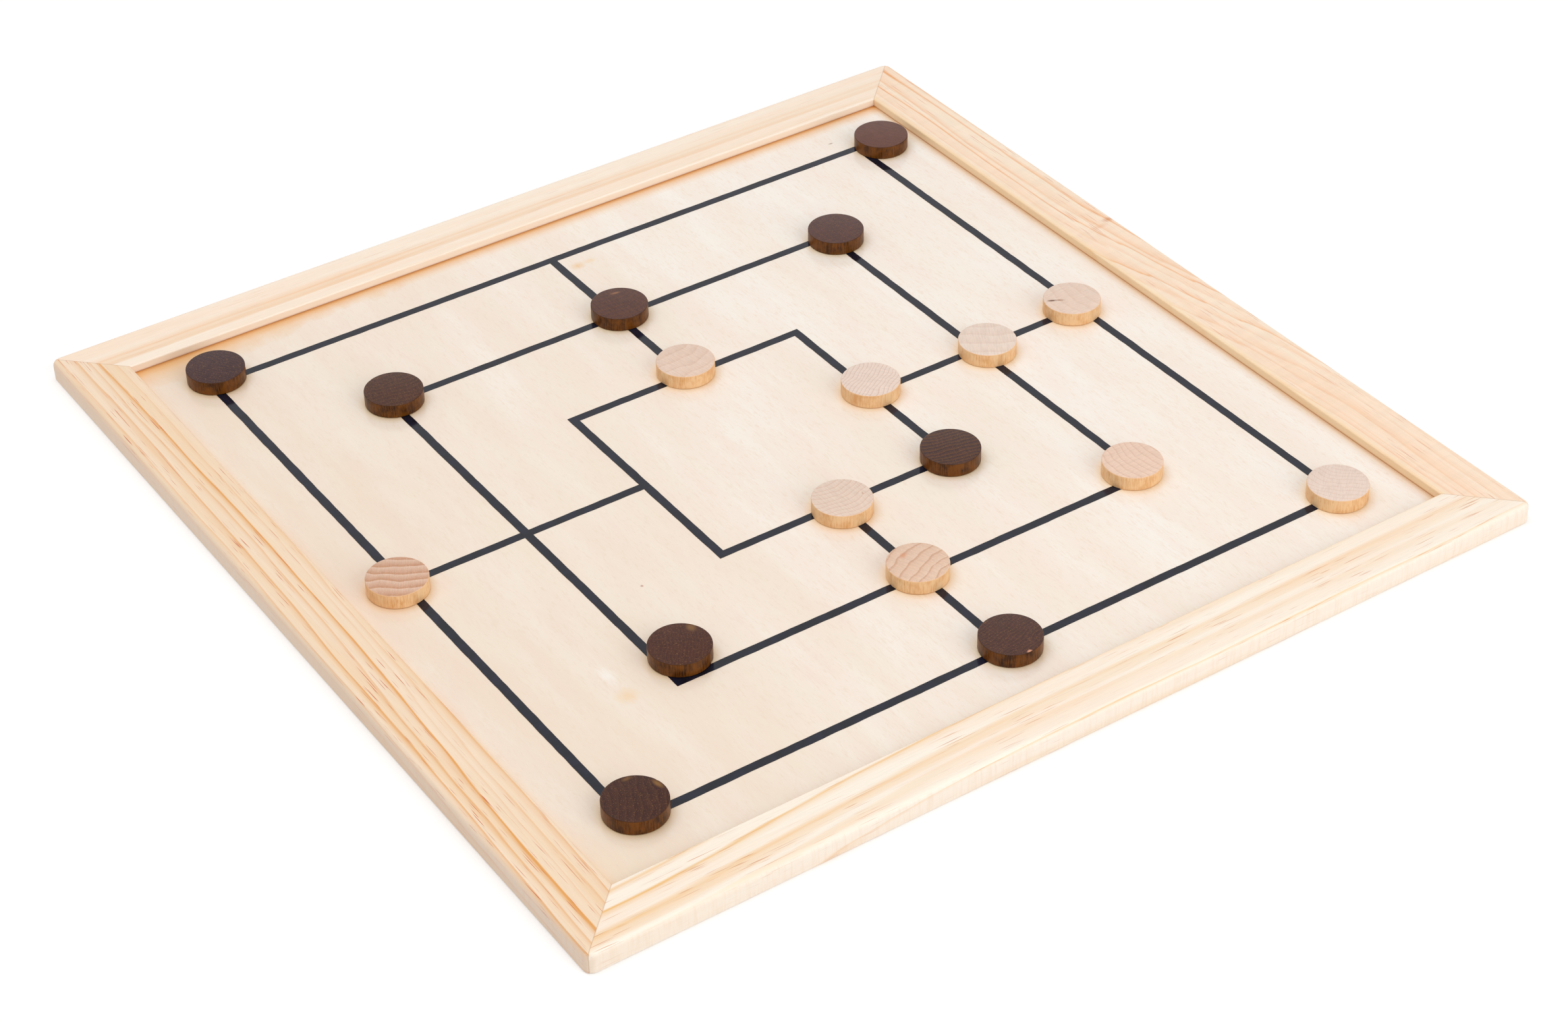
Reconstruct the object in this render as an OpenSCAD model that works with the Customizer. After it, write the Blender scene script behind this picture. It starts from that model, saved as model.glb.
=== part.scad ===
// Nine men's morris board: a mitred pine frame round a recessed plywood panel
// with printed lines, and eighteen loose wooden men.
// +X runs along the front rail, +Y towards the back rail and +Z up.
// The origin is the middle of the frame, on the surface that it stands on.

/* [Frame] */
// Outside length of each side of the frame
board_side = 350; // [310:1:410]
// Width of a rail, seen from above
rail_w = 20.5; // [18:0.5:26]
// Thickness of a rail
rail_h = 7.4; // [6.6:0.1:10]
// Radius of the rounded outer top edge
shoulder_r = 2.1; // [0.5:0.1:2.8]
// Radius of the eased outer bottom edge
foot_r = 0.6; // [0.2:0.1:1.5]
// Radius of the eased inner top edge
lip_r = 0.5; // [0.2:0.1:1.2]
// Radius of the frame's upright corners
corner_r = 3; // [2.9:0.1:5]

/* [Panel] */
// Width of the rebate under a rail that takes the panel's edge
rebate_w = 8; // [4:0.5:10]
// Thickness of the plywood
panel_t = 4; // [3:0.1:4.6]
// How far the panel's back lies above the surface that the frame stands on
panel_recess = 0.4; // [0.2:0.1:1]
// Thickness of the face veneer and of the back veneer
veneer_t = 0.9; // [0.5:0.1:1.2]
// Gap between the panel's edge and the rebate's wall
panel_gap = 0.25; // [0.1:0.05:0.5]

/* [Print] */
// Distance from a rail to the outer square's line centre, on the panel
print_margin = 21.3; // [20:0.1:40]
// Side of the middle square as a share of the outer one
middle_share = 0.6675; // [0.6:0.0005:0.72]
// Side of the inner square as a share of the outer one
inner_share = 0.335; // [0.3:0.0005:0.4]
// Width of a printed line
line_w = 3; // [2:0.1:4]
// Thickness of the ink
ink_t = 0.1; // [0.05:0.01:0.2]
// How far the print lies off the frame's middle, along X
print_dx = -1.9; // [-4:0.1:4]
// How far the print lies off the frame's middle, along Y
print_dy = -0.7; // [-4:0.1:4]

/* [Men] */
// Diameter of a man
man_d = 20; // [14:0.5:24]
// Thickness of a man
man_t = 5; // [3:0.1:8]
// Radius of a man's eased edges
man_edge = 0.3; // [0.1:0.05:1]

/* [Hidden] */
$fn = 96;

// Spare length by which a cutting shape runs past what it cuts
over = 1;
half = board_side / 2;
// Height of the playing surface, which is also the top of the rebate
play_z = panel_recess + panel_t;
// Inside length of each side of the frame
opening = board_side - 2 * rail_w;
panel_side = opening + 2 * (rebate_w - panel_gap);
core_t = panel_t - 2 * veneer_t;
// Sides of the three squares, between line centres
print_side = opening - 2 * print_margin;
middle_side = print_side * middle_share;
inner_side = print_side * inner_share;
ink_z = play_z + ink_t;

// Half sides of the three squares, from the outer one in
rings = [print_side / 2, middle_side / 2, inner_side / 2];

// Where the dark men stand: the square (0 is the outer one), the point on it
// along X and Y (-1, 0 or 1), and how far off the point the man was put down
dark_places = [
    [0, -1, 1, 2.9, 2.4],
    [0, 1, 1, 8.1, -3.7],
    [1, -1, 1, 1.3, -0.1],
    [1, 0, 1, 1.1, 0],
    [1, 1, 1, 0.8, -3.8],
    [2, 1, -1, -0.9, -0.8],
    [1, -1, -1, 6.6, 9.6],
    [0, -1, -1, 3.3, 3.3],
    [0, 0, -1, 1.1, 0.2]
];

// Where the light men stand, in the same form
light_places = [
    [2, 0, 1, 0.7, 1.6],
    [0, -1, 0, -2.5, -1.2],
    [2, 1, 0, 0.3, 0.8],
    [1, 1, 0, 2.0, -2.8],
    [0, 1, 0, -3.4, 0.4],
    [2, 0, -1, -0.7, -3.1],
    [1, 0, -1, -0.8, 0.4],
    [1, 1, -1, -2.1, 3.6],
    [0, 1, -1, -1.1, 0.5]
];

// A man's place on the board in millimetres
function man_at(place) = [
    print_dx + rings[place[0]] * place[1] + place[3],
    print_dy + rings[place[0]] * place[2] + place[4],
    ink_z
];

// What is cut away from the top left corner of a profile to round it off
module round_waste(r) {
    difference() {
        translate([-over, -r]) square([r + over, r + over]);
        translate([r, -r]) circle(r);
    }
}

// The moulding's section: x runs from the outer side inwards and y is height
module rail_section() {
    difference() {
        square([rail_w, rail_h]);
        translate([0, rail_h]) round_waste(shoulder_r);
        mirror([0, 1]) round_waste(foot_r);
        translate([rail_w, rail_h]) mirror([1, 0]) round_waste(lip_r);
        translate([rail_w - rebate_w, -over]) square([rebate_w + over, play_z + over]);
    }
}

// The section that is turned about an upright corner's centre
module corner_section() {
    difference() {
        square([corner_r, rail_h]);
        translate([corner_r, rail_h]) mirror([1, 0]) round_waste(shoulder_r);
        translate([corner_r, 0]) mirror([1, 0]) mirror([0, 1]) round_waste(foot_r);
    }
}

// The front quarter of the frame, seen from above, out to both mitres
module mitre_wedge() {
    reach = half + over;
    translate([0, 0, -over])
        linear_extrude(rail_h + 2 * over)
            polygon([[0, 0], [-reach, -reach], [reach, -reach]]);
}

// One rail, lying at the front, with a mitre at each end
module rail() {
    corner_at = half - corner_r;
    intersection() {
        union() {
            translate([-corner_at, -half, 0])
                rotate([90, 0, 90])
                    linear_extrude(2 * corner_at) rail_section();
            for (side = [-1, 1])
                translate([side * corner_at, -corner_at, 0])
                    rotate_extrude() corner_section();
        }
        mitre_wedge();
    }
}

module rail_front() {
    color("#f2dcb8") rail();
}

module rail_right() {
    color("#f5d6b4") rotate([0, 0, 90]) rail();
}

module rail_back() {
    color("#f7dfc6") rotate([0, 0, 180]) rail();
}

module rail_left() {
    color("#eec896") rotate([0, 0, 270]) rail();
}

// One ply of the panel, from height z up
module ply(z, thickness) {
    translate([-panel_side / 2, -panel_side / 2, z])
        cube([panel_side, panel_side, thickness]);
}

module panel_face() {
    color("#f3e6d0") ply(play_z - veneer_t, veneer_t);
}

module panel_core() {
    color("#dcc7a2") ply(panel_recess + veneer_t, core_t);
}

module panel_back() {
    color("#e9d9bd") ply(panel_recess, veneer_t);
}

// A printed square whose line is centred on the given side
module ring(side) {
    difference() {
        square(side + line_w, center = true);
        square(side - line_w, center = true);
    }
}

// The four lines that join the middles of the squares' sides
module spokes() {
    spoke_len = (print_side - inner_side) / 2;
    for (turn = [0:90:270])
        rotate(turn)
            translate([inner_side / 2, -line_w / 2]) square([spoke_len, line_w]);
}

module printed_lines() {
    color("#2b2b30")
        translate([print_dx, print_dy, play_z])
            linear_extrude(ink_t)
                union() {
                    for (half_side = rings) ring(2 * half_side);
                    spokes();
                }
}

// A disc with eased edges, standing on z = 0
module man() {
    rotate_extrude()
        difference() {
            square([man_d / 2, man_t]);
            translate([man_d / 2, man_t]) mirror([1, 0]) round_waste(man_edge);
            translate([man_d / 2, 0]) mirror([1, 0]) mirror([0, 1]) round_waste(man_edge);
        }
}

module dark_man(i) {
    color("#4d3527") translate(man_at(dark_places[i])) man();
}

module light_man(i) {
    color("#e8c9a2") translate(man_at(light_places[i])) man();
}

rail_front();
rail_right();
rail_back();
rail_left();
panel_face();
panel_core();
panel_back();
printed_lines();
for (i = [0:8]) dark_man(i);
for (i = [0:8]) light_man(i);
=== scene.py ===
# Nine men's morris board: pine rails, a lacquered panel, printed lines and turned men.
import math
import bmesh
import bpy
from mathutils import Matrix, Vector


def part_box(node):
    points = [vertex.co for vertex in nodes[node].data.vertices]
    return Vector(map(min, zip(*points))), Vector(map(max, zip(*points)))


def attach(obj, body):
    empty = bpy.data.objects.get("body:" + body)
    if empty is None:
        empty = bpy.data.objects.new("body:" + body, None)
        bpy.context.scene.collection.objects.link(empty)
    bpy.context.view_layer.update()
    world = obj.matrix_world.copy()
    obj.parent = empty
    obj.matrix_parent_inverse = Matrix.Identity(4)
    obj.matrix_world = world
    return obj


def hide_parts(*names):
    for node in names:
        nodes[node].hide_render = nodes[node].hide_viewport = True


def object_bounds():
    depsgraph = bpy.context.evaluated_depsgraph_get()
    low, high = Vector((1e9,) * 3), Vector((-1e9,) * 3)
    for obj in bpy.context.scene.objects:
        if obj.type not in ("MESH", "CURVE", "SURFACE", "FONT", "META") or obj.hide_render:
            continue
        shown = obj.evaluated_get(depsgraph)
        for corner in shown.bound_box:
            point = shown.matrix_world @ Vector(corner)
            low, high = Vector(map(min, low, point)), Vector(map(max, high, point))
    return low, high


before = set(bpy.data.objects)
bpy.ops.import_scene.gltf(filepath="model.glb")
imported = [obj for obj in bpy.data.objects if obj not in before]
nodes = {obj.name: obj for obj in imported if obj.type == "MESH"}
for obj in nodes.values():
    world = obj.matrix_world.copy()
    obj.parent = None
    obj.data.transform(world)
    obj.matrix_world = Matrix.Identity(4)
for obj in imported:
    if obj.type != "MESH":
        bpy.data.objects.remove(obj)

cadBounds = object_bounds()
mm = 0.001  # everything in Blender is in metres
inMm = (1000, 1000, 1000)  # scales a point's metres to millimetres
halfSide = cadBounds[1][0] / mm  # half the board's side, in millimetres
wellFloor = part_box("panel_face")[1].z / mm  # height of the playing surface, in millimetres
finishIor = 1.5  # lacquer, stain and ink alike
crispAngle = math.radians(50)  # edges sharper than this stay crisp
over = {"data_type": "RGBA"}  # sets a Mix node to lay its second colour over the first
times = {"data_type": "RGBA", "blend_type": "MULTIPLY"}  # or to darken the first by the second


def hexColour(code):  # "#rrggbb" in sRGB to linear red, green, blue and alpha
    parts = [int(code[i:i + 2], 16) / 255 for i in (1, 3, 5)]
    return tuple(c / 12.92 if c <= 0.04045 else ((c + 0.055) / 1.055) ** 2.4 for c in parts) + (1,)


def fillInputs(tree, node, pins):  # links each input to a socket, or sets its value
    for key, value in pins.items():
        if isinstance(value, bpy.types.NodeSocket):
            tree.links.new(value, node.inputs[key])
        else:
            node.inputs[key].default_value = value


def addNode(tree, kind, pins=None, out=0, stops=None, **settings):
    # adds one node, sets it up, fills its inputs and hands back one of its outputs. Inputs go by
    # name or number: a Mix of two colours has them in 6 and 7, and its result is output 2.
    node = tree.nodes.new(kind)
    for name, value in settings.items():
        setattr(node, name, value)
    if stops:  # a ramp's stops, each a place with a grey level or a colour
        ramp = node.color_ramp.elements
        while len(ramp) < len(stops):
            ramp.new(0.5)
        for stop, (place, level) in zip(ramp, stops):
            stop.position = place
            stop.color = hexColour(level) if isinstance(level, str) else (level, level, level, 1)
    fillInputs(tree, node, pins or {})
    return node.outputs[out]


def startMaterial(name):
    material = bpy.data.materials.new(name)
    material.use_nodes = True
    return material, material.node_tree, material.node_tree.nodes["Principled BSDF"]


def layMark(tree, colour, flat, noise, mark, edge):
    # one soft spot over a colour. A mark is its middle and reach in mm, its turn in degrees, its
    # colour and its depth. The edge is how far noise eats into it, and where it starts to fade.
    middle, reach, turn, tint, depth = mark
    ragged, fade = edge
    spot = addNode(tree, "ShaderNodeMapping", {
        "Vector": flat, "Location": (*middle, 0), "Rotation": (0, 0, math.radians(turn)),
        "Scale": (*reach, 0)}, vector_type="TEXTURE")
    spot = addNode(tree, "ShaderNodeVectorMath", {0: spot}, 1, operation="LENGTH")
    spot = addNode(tree, "ShaderNodeMath", {0: noise, 1: ragged, 2: spot}, operation="MULTIPLY_ADD")
    spot = addNode(tree, "ShaderNodeValToRGB", {0: spot}, stops=[(fade, depth), (1.0, 0.0)])
    return addNode(tree, "ShaderNodeMix", {0: spot, 6: colour, 7: hexColour(tint)}, 2, **over)


# Each rail is seen as if it lay at the front, with lengths in mm. "shiftMm" moves its rings, "crest"
# says where in a ring the late wood is darkest, and "figure" how strongly it shows at each end.
# The rings drop by the third value of "bend" between the first two along the rail. A mark's
# middle is measured from the rail's own middle and in from its outer edge.
railWoods = {
    "rail_front": {
        "turn": 0, "pale": "#fff4e4", "rose": "#ffedda", "late": "#f2bc6c", "fleck": "#cf8248",
        "side": "#f9ebdc", "ringMm": 6.4, "shiftMm": 0.0, "crest": 0.84, "bend": (-170, -20, 8.5),
        "wanderMm": 5.0, "figure": (0.8075, 0.34), "flecks": 0.8, "curl": 0.0, "seed": 3,
        "marks": []},
    "rail_right": {
        "turn": 90, "pale": "#ffead2", "rose": "#ffe1c5", "late": "#f4b070", "fleck": "#d06a38",
        "side": "#fae6d4", "ringMm": 3.9, "shiftMm": 0.0, "crest": 0.86, "bend": (-110, 60, 22),
        "wanderMm": 8.0, "figure": (0.5525, 0.85), "flecks": 0.72, "curl": 0.0315, "seed": 17,
        "marks": [
            ((35, 2.5), (2.6, 4.2), 0, "#d58a58", 0.7),
            ((33, 8.5), (2.4, 6.0), 0, "#eab184", 0.45),
            # painted shade: the right rail's inner lip and wall, which face away from the lamps, tinted
            # a deeper orange
            ((0, 21.5), (4000, 5), 0, "#fbdcae", 0.8)]},
    "rail_back": {
        "turn": 180, "pale": "#ffeedb", "rose": "#ffe7d0", "late": "#f3c088", "fleck": "#d08f63",
        "side": "#fbebdc", "ringMm": 10.0, "shiftMm": 3.6, "crest": 0.8, "bend": (-175, 175, 2),
        "wanderMm": 2.4, "figure": (0.5525, 0.7225), "flecks": 0.32, "curl": 0.009, "seed": 29,
        # painted light: a pale band along the back rail's inner lip and wall, which face the front lamp
        "marks": [((0, 21.5), (4000, 6), 0, "#fff0de", 0.9)]},
    "rail_left": {
        "turn": 270, "pale": "#f8e0c5", "rose": "#f6d9b7", "late": "#e8a455", "fleck": "#cc6230",
        "side": "#f1d8c4", "ringMm": 3.4, "shiftMm": 0.0, "crest": 0.9, "bend": (-60, 175, -5),
        "wanderMm": 5.2, "figure": (0.765, 1.0625), "flecks": 1.12, "curl": 0.0, "seed": 44,
        "marks": []},
}
pineFinish = {  # patterns are counted per mm: along the rail, across it and upwards
    "stretch": (0.05, 1, 1),  # grain runs 20 times as long as it is wide
    "tilt": 0.6,  # how many mm the rings lean over for each mm of height
    "driftPerMm": 0.17, "ripplePerMm": 0.7, "rippleMm": 1.1, "unevenPerMm": 0.15, "uneven": 1.6,
    "patchPerMm": 0.2, "patchShare": 1.3, "fibrePerMm": 2.0,
    "fleckPerMm": (0.08, 3.0, 3.0), "fleckOnLate": 0.07, "fleckAreaPerMm": 0.03,
    "curlPerMm": (0.4, 0.07, 0.07), "sawnPerMm": (1.3, 0.05, 0.1), "sawnDepth": 0.8,
    # cornerPoolAndShade: lacquer pooled in the well's corner, with painted contact shade
    "sawn": "#ecc7a4", "cornerPoolAndShade": "#bb7630", "glue": "#b07a4a", "markEdge": (0.6, 0.45),
    "rough": (0.32, 0.48), "gloss": 0.4, "bump": 0.3, "bumpMm": 0.05}


def pineRings(tree, axes, long, spec):
    # late wood: each ring darkens slowly, then ends in one crisp edge
    start, end, drop = spec["bend"]
    bend = addNode(tree, "ShaderNodeMapRange", {0: axes[0], 1: start, 2: end, 3: 0.0, 4: -drop},
                   interpolation_type="SMOOTHSTEP")
    across = addNode(tree, "ShaderNodeMath", {0: axes[1], 1: halfSide + spec["shiftMm"]},
                     operation="ADD")
    across = addNode(tree, "ShaderNodeMath", {0: axes[2], 1: pineFinish["tilt"], 2: across},
                     operation="MULTIPLY_ADD")
    across = addNode(tree, "ShaderNodeMath", {0: across, 1: bend}, operation="ADD")
    slow = (pineFinish["driftPerMm"], spec["wanderMm"])
    quick = (pineFinish["ripplePerMm"], pineFinish["rippleMm"])
    for scale, reach in (slow, quick):
        drift = addNode(tree, "ShaderNodeTexNoise", {
            "Vector": long, "W": spec["seed"], "Scale": scale, "Detail": 1.5}, noise_dimensions="4D")
        across = addNode(tree, "ShaderNodeMath", {0: drift, 1: reach, 2: across},
                         operation="MULTIPLY_ADD")

    # rings of uneven width, some stronger than others
    uneven = addNode(tree, "ShaderNodeTexNoise", {
        "W": across, "Scale": pineFinish["unevenPerMm"], "Detail": 1.0}, noise_dimensions="1D")
    uneven = addNode(tree, "ShaderNodeMath", {0: uneven, 1: pineFinish["uneven"], 2: spec["seed"]},
                     operation="MULTIPLY_ADD")
    phase = addNode(tree, "ShaderNodeMath", {0: across, 1: 1 / spec["ringMm"], 2: uneven},
                    operation="MULTIPLY_ADD")
    number = addNode(tree, "ShaderNodeMath", {0: phase}, operation="FLOOR")
    vigour = addNode(tree, "ShaderNodeTexWhiteNoise", {"W": number}, noise_dimensions="1D")
    vigour = addNode(tree, "ShaderNodeValToRGB", {0: vigour}, stops=[(0.2, 0.3), (0.8, 1.0)])
    crest = spec["crest"]
    late = addNode(tree, "ShaderNodeMath", {0: phase}, operation="FRACT")
    late = addNode(tree, "ShaderNodeValToRGB", {0: late}, stops=[
        (0.0, 0.0), (0.4, 0.05), (crest - 0.15, 0.45), (crest, 1.0), (1.0, 0.0)])
    return addNode(tree, "ShaderNodeMath", {0: late, 1: vigour}, operation="MULTIPLY")


def resinFlecks(tree, colour, grain, late, spec):
    # resin canals cut lengthwise: 0.3 mm wide, a few mm long, mostly on the late wood, and more
    # of them in some places
    fleck = addNode(tree, "ShaderNodeMapping", {"Vector": grain, "Scale": pineFinish["fleckPerMm"]})
    fleck = addNode(tree, "ShaderNodeTexNoise", {
        "Vector": fleck, "W": spec["seed"], "Scale": 1.0, "Detail": 1.0}, noise_dimensions="4D")
    fleck = addNode(tree, "ShaderNodeMath", {0: late, 1: pineFinish["fleckOnLate"], 2: fleck},
                    operation="MULTIPLY_ADD")
    fleck = addNode(tree, "ShaderNodeValToRGB", {0: fleck}, stops=[
        (0.65, 0.0), (0.72, spec["flecks"])])
    where = addNode(tree, "ShaderNodeTexNoise", {
        "Vector": grain, "Scale": pineFinish["fleckAreaPerMm"], "Detail": 1.0})
    where = addNode(tree, "ShaderNodeValToRGB", {0: where}, stops=[(0.42, 0.25), (0.58, 1.0)])
    fleck = addNode(tree, "ShaderNodeMath", {0: fleck, 1: where}, operation="MULTIPLY")
    return addNode(tree, "ShaderNodeMix", {
        0: fleck, 6: colour, 7: hexColour(spec["fleck"])}, 2, **over)


def railJointsAndCornerShade(tree, colour, axes, facing):
    # lacquer pooled in the well's corner with painted contact shade over it, and the glue line where
    # two mitres meet
    corner = addNode(tree, "ShaderNodeMath", {0: axes[2], 1: wellFloor}, operation="SUBTRACT")
    corner = addNode(tree, "ShaderNodeValToRGB", {0: corner}, stops=[
        (0.1, 0.85), (0.35, 0.25), (0.7, 0.0)])
    inner = addNode(tree, "ShaderNodeMath", {0: facing, 1: -0.7}, operation="LESS_THAN")
    corner = addNode(tree, "ShaderNodeMath", {0: corner, 1: inner}, operation="MULTIPLY")
    colour = addNode(tree, "ShaderNodeMix", {
        0: corner, 6: colour, 7: hexColour(pineFinish["cornerPoolAndShade"])}, 2, **over)
    mitre = addNode(tree, "ShaderNodeMath", {0: axes[0]}, operation="ABSOLUTE")
    mitre = addNode(tree, "ShaderNodeMath", {0: mitre, 1: axes[1]}, operation="ADD")
    mitre = addNode(tree, "ShaderNodeMath", {0: mitre}, operation="ABSOLUTE")
    mitre = addNode(tree, "ShaderNodeValToRGB", {0: mitre}, stops=[(0.1, 0.32), (0.32, 0.0)])
    return addNode(tree, "ShaderNodeMix", {
        0: mitre, 6: colour, 7: hexColour(pineFinish["glue"])}, 2, **over)


def pineRail(spec, name):
    # Planed pine under thin clear lacquer: cream early wood, thin orange late wood lines
    # with one crisp edge, short reddish resin flecks and a low sheen.
    material, tree, shader = startMaterial(name)
    turn = math.radians(spec["turn"])
    surface = addNode(tree, "ShaderNodeTexCoord").node.outputs
    grain = addNode(tree, "ShaderNodeMapping", {
        "Vector": surface["Object"], "Rotation": (0, 0, -turn), "Scale": inMm})
    axes = addNode(tree, "ShaderNodeSeparateXYZ", {0: grain}).node.outputs
    long = addNode(tree, "ShaderNodeMapping", {"Vector": grain, "Scale": pineFinish["stretch"]})
    late = pineRings(tree, axes, long, spec)

    # soft patches of tone and fine fibres, with the late wood over them
    tone = addNode(tree, "ShaderNodeTexNoise", {
        "Vector": long, "W": spec["seed"] + 5, "Scale": pineFinish["patchPerMm"], "Detail": 2.0},
        noise_dimensions="4D")
    fibre = addNode(tree, "ShaderNodeTexNoise", {
        "Vector": long, "Scale": pineFinish["fibrePerMm"], "Detail": 3.0, "Roughness": 0.6})
    figure = addNode(tree, "ShaderNodeMapRange", {
        0: axes[0], 1: -halfSide, 2: halfSide, 3: spec["figure"][0], 4: spec["figure"][1]})
    share = addNode(tree, "ShaderNodeMath", {0: tone, 1: pineFinish["patchShare"], 2: fibre},
                    operation="MULTIPLY_ADD")
    share = addNode(tree, "ShaderNodeMath", {0: share, 1: late}, operation="MULTIPLY")
    share = addNode(tree, "ShaderNodeMath", {
        0: share, 1: figure}, operation="MULTIPLY", use_clamp=True)
    colour = addNode(tree, "ShaderNodeValToRGB", {0: tone}, stops=[
        (0.4, spec["pale"]), (0.62, spec["rose"])])
    colour = addNode(tree, "ShaderNodeMix", {
        0: share, 6: colour, 7: hexColour(spec["late"])}, 2, **over)
    fibres = addNode(tree, "ShaderNodeValToRGB", {0: fibre}, stops=[(0.3, 0.955), (0.6, 1.0)])
    colour = addNode(tree, "ShaderNodeMix", {0: 1.0, 6: colour, 7: fibres}, 2, **times)
    colour = resinFlecks(tree, colour, grain, late, spec)

    # curly figure: soft bars across the grain, about 3 mm apart
    curl = addNode(tree, "ShaderNodeMapping", {"Vector": grain, "Scale": pineFinish["curlPerMm"]})
    curl = addNode(tree, "ShaderNodeTexNoise", {"Vector": curl, "Scale": 1.0, "Detail": 2.0})
    curl = addNode(tree, "ShaderNodeValToRGB", {0: curl}, stops=[
        (0.35, 1 - spec["curl"]), (0.6, 1.0)])
    colour = addNode(tree, "ShaderNodeMix", {0: 1.0, 6: colour, 7: curl}, 2, **times)
    for (along, inward), *rest in spec["marks"]:
        mark = ((along, inward - halfSide), *rest)
        colour = layMark(tree, colour, grain, fibre, mark, pineFinish["markEdge"])

    # the outer side is sawn across and paler than the planed top
    facing = addNode(tree, "ShaderNodeVectorMath", {
        0: surface["Normal"], 1: (math.sin(turn), -math.cos(turn), 0)}, 1, operation="DOT_PRODUCT")
    side = addNode(tree, "ShaderNodeValToRGB", {0: facing}, stops=[(0.55, 0.0), (0.9, 0.55)])
    colour = addNode(tree, "ShaderNodeMix", {
        0: side, 6: colour, 7: hexColour(spec["side"])}, 2, **over)
    sawn = addNode(tree, "ShaderNodeMapping", {"Vector": grain, "Scale": pineFinish["sawnPerMm"]})
    sawn = addNode(tree, "ShaderNodeTexNoise", {
        "Vector": sawn, "Scale": 1.0, "Detail": 2.0, "Roughness": 0.6})
    sawn = addNode(tree, "ShaderNodeValToRGB", {0: sawn}, stops=[(0.45, 0.0), (0.7, 0.4)])
    sawn = addNode(tree, "ShaderNodeMath", {0: sawn, 1: side}, operation="MULTIPLY")
    colour = addNode(tree, "ShaderNodeMix", {
        0: sawn, 6: colour, 7: hexColour(pineFinish["sawn"])}, 2, **over)
    colour = railJointsAndCornerShade(tree, colour, axes, facing)

    low, high = pineFinish["rough"]
    rough = addNode(tree, "ShaderNodeMapRange", {0: fibre, 3: low, 4: high})
    relief = addNode(tree, "ShaderNodeMath", {0: sawn, 1: -pineFinish["sawnDepth"], 2: fibre},
                     operation="MULTIPLY_ADD")
    bump = addNode(tree, "ShaderNodeBump", {
        "Height": relief, "Strength": pineFinish["bump"], "Distance": pineFinish["bumpMm"] * mm})
    fillInputs(tree, shader, {
        "Base Color": colour, "Roughness": rough, "Normal": bump, "IOR": finishIor,
        "Specular IOR Level": pineFinish["gloss"]})
    return material


panelWood = {  # patterns are counted per mm, across the grain
    "stretch": (1, 0.2, 1),  # streaks run 5 times as long as they are wide
    "cloudPerMm": 0.05, "blushPerMm": 0.16, "vesselPerMm": 1.5, "poolPerMm": 0.04,
    # leftShade is painted shade, deepest at the panel's left edge
    "cloud": ("#fcf3e8", "#f8ebdb"), "blush": "#f9e6d9", "leftShade": "#f8f1e9", "streak": "#edd6bf",
    "stain": "#eeae54", "bounce": "#ffecc2", "bounceMm": 5, "blushSeed": 4.0,
    # painted shadow in the gap between the panel and the back and right rails: its colour, reach,
    # ragged edge and depth at each
    "railShadow": "#b87638", "railShadowMm": 5.0, "railShadowRaggedMm": 0.5, "railShadowDepth": (0.45, 0.4),
    # the pool's edge lies at a noise times raggedMm, and draws in by leanMm from left to right
    "pool": {"leftMm": -130.0, "rightMm": -30.0, "leanMm": 14.0, "raggedMm": 30.0, "leastMm": 6.5},
    "rough": (0.14, 0.24), "bump": 0.12, "bumpMm": 0.02, "markEdge": (0.8, 0.4),
    "marks": [
        ((4, 124), (5.6, 4.4), 0, "#f1c080", 0.7),
        ((9, 124.5), (5.0, 3.0), 0, "#f5cf98", 0.6),
        ((-107, -86), (7, 7.5), 0, "#f5cd90", 0.55),
        ((-107, -75), (5, 10), 0, "#fffbf4", 0.55),
        # painted shade: the panel darker and yellower towards its front-left corner
        ((-165, -165), (75, 75), 0, "#f5d9ae", 0.5),
        ((-75.3, -44.2), (1.2, 1.2), 0, "#a84e34", 0.9),
        ((125, 141), (2.2, 0.9), 0, "#8a5a3a", 0.7)],
}


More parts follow.
